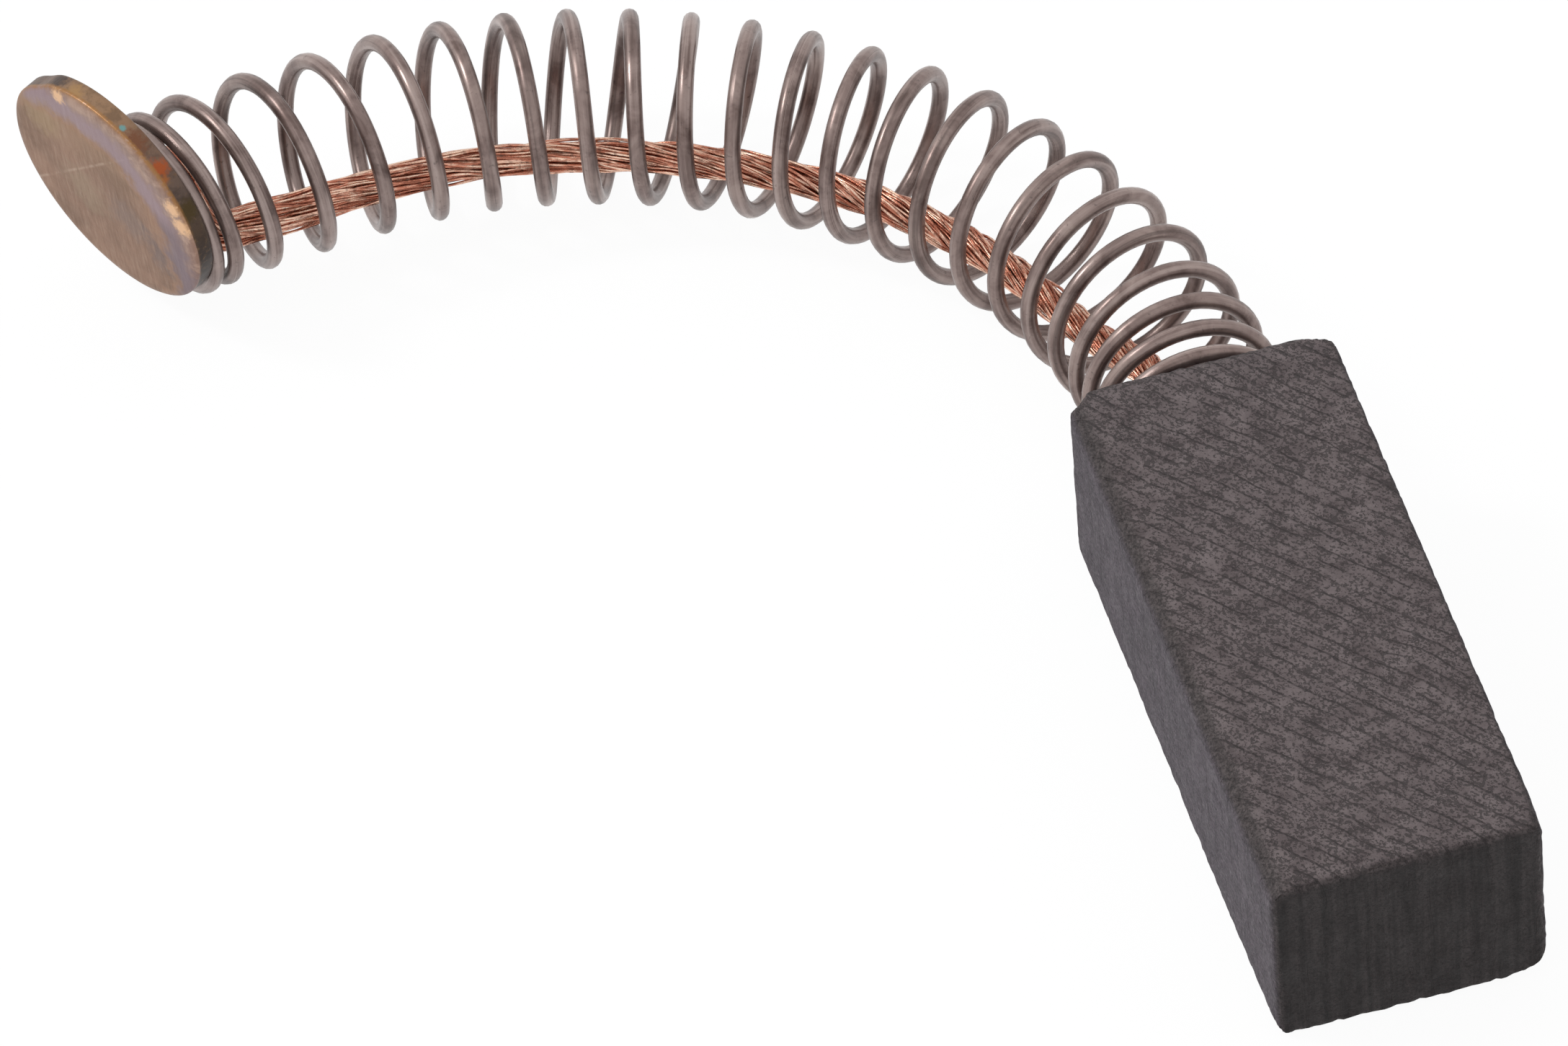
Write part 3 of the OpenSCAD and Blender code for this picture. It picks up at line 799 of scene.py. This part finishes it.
def rest_plane(nodes):
    """The plane the part comes to rest on: the facet of its hull below its centre of mass."""
    import bmesh
    from mathutils.geometry import intersect_point_tri_2d

    hull = bmesh.new()
    for name in ("carbon_block", "spring", "contact_cap"):
        for v in nodes[name].data.vertices:
            hull.verts.new(v.co)
    bmesh.ops.convex_hull(hull, input=hull.verts)
    spot = Vector(BALANCE) * MM
    for face in hull.faces:
        face.normal_update()
        corners = [v.co.copy() for v in face.verts]
        if face.normal.z < -0.5 and intersect_point_tri_2d(spot, *[c.xy for c in corners[:3]]):
            return corners[0], -face.normal.copy()
    return Vector((0, 0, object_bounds()[0][2])), Vector((0, 0, 1))


def white_rays(add, link):
    """1 for rays that show the background: from the camera, off metal or through glass."""
    path = add("LightPath")
    some, all_of_them = (add("Math", operation="MAXIMUM") for _ in range(2))
    link(path.outputs["Is Camera Ray"], some.inputs[0])
    link(path.outputs["Is Glossy Ray"], some.inputs[1])
    link(some.outputs[0], all_of_them.inputs[0])
    link(path.outputs["Is Transmission Ray"], all_of_them.inputs[1])
    return all_of_them.outputs[0]


def adder(tree):
    """A function that adds a shader node to this tree."""

    def add(kind, **settings):
        made = tree.nodes.new("ShaderNode" + kind)
        for key, value in settings.items():
            setattr(made, key, value)
        return made

    return add


def lit(name, colour, seen):
    """White for the camera and in reflections, but only `colour` as light on the part."""
    material = bpy.data.materials.new(name)
    material.use_nodes = True
    tree = material.node_tree
    tree.nodes.clear()
    add = adder(tree)
    out, mix, diffuse, glow = add("OutputMaterial"), add("MixShader"), add("BsdfDiffuse"), add("Emission")
    share = add("Math", operation="MULTIPLY")
    diffuse.inputs["Color"].default_value = (*colour, 1)
    glow.inputs["Strength"].default_value = 1.05
    share.inputs[1].default_value = seen
    tree.links.new(white_rays(add, tree.links.new), share.inputs[0])
    tree.links.new(share.outputs[0], mix.inputs["Fac"])
    tree.links.new(diffuse.outputs[0], mix.inputs[1])
    tree.links.new(glow.outputs[0], mix.inputs[2])
    tree.links.new(mix.outputs[0], out.inputs["Surface"])
    return material


def table(nodes):
    """A wide pale table, lying where the part comes to rest on it."""
    spot, normal = rest_plane(nodes)
    mesh = bpy.data.meshes.new("table")
    h = 1.5
    mesh.from_pydata([(-h, -h, 0), (h, -h, 0), (h, h, 0), (-h, h, 0)], [], [(0, 1, 2, 3)])
    mesh.materials.append(lit("table_white", (0.62, 0.62, 0.63), 0.9))
    thing = bpy.data.objects.new("table", mesh)
    bpy.context.scene.collection.objects.link(thing)
    turn = normal.to_track_quat("Z", "Y").to_matrix().to_4x4()
    thing.matrix_world = Matrix.Translation(spot - normal * 0.00001) @ turn
    thing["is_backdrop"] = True


def lamp(name, where, size, power, aim):
    data = bpy.data.lights.new(name, "AREA")
    data.shape, data.size, data.size_y = "RECTANGLE", size[0], size[1]
    data.energy = power
    thing = bpy.data.objects.new(name, data)
    bpy.context.scene.collection.objects.link(thing)
    thing.location = where
    thing.rotation_euler = (Vector(aim) - Vector(where)).to_track_quat("-Z", "Y").to_euler()


def studio():
    """White all round for the camera; the part itself is lit from above, behind and the left."""
    world = bpy.data.worlds.new("studio")
    bpy.context.scene.world = world
    world.use_nodes = True
    tree = world.node_tree
    sky = tree.nodes["Background"]
    add = adder(tree)
    place, facing = add("TexCoord"), add("VectorMath", operation="DOT_PRODUCT")
    facing.inputs[1].default_value = unit((-0.45, 0.62, 0.64))
    tree.links.new(place.outputs["Generated"], facing.inputs[0])
    level = add("MapRange")
    for key, value in zip(("From Min", "From Max", "To Min", "To Max"), (-0.9, 0.8, 0.22, 0.95)):
        level.inputs[key].default_value = value
    tree.links.new(facing.outputs["Value"], level.inputs["Value"])
    brightest = add("Math", operation="MAXIMUM")
    tree.links.new(level.outputs[0], brightest.inputs[0])
    tree.links.new(white_rays(add, tree.links.new), brightest.inputs[1])
    tree.links.new(brightest.outputs[0], sky.inputs["Strength"])
    sky.inputs["Color"].default_value = (1, 1, 1, 1)
    lamp("key", (-0.24, 0.13, 0.28), (0.07, 0.07), 0.44, aim=(-0.012, 0.022, 0))


# ---------------------------------------------------------------- build
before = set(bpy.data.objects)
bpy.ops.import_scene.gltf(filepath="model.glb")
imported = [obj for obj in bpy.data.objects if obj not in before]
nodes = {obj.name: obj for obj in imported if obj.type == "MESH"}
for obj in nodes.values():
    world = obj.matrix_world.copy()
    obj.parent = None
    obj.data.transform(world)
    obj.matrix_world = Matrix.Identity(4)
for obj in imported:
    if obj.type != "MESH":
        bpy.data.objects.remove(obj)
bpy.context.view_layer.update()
bpy.context.scene.view_settings.view_transform = "Standard"
camera()
studio()
table(nodes)

steel, copper, brass, carbon = drawn_steel(), copper_wire(), tarnished_brass(), graphite()
points, faces, zone = graphite_block()
piece("graphite_block", points, faces, carbon, ["carbon_block"], zone=zone)
points, faces, place = tube(wire_path(FINE_STEPS), WIRE_R, WIRE_SIDES, (0, 0, 1), round_ends=True)
piece("steel_spring", points, faces, steel, ["spring"], uv=place)
points, faces, place = copper_rope()
piece("copper_rope", points, faces, copper, ["shunt"], uv=place)
points, faces, place, zone = cap_mesh()
piece("brass_cap", points, faces, brass, ["contact_cap"], uv=place, zone=zone)
nodes["tamping"].data.materials.clear()
nodes["tamping"].data.materials.append(tamped_copper())
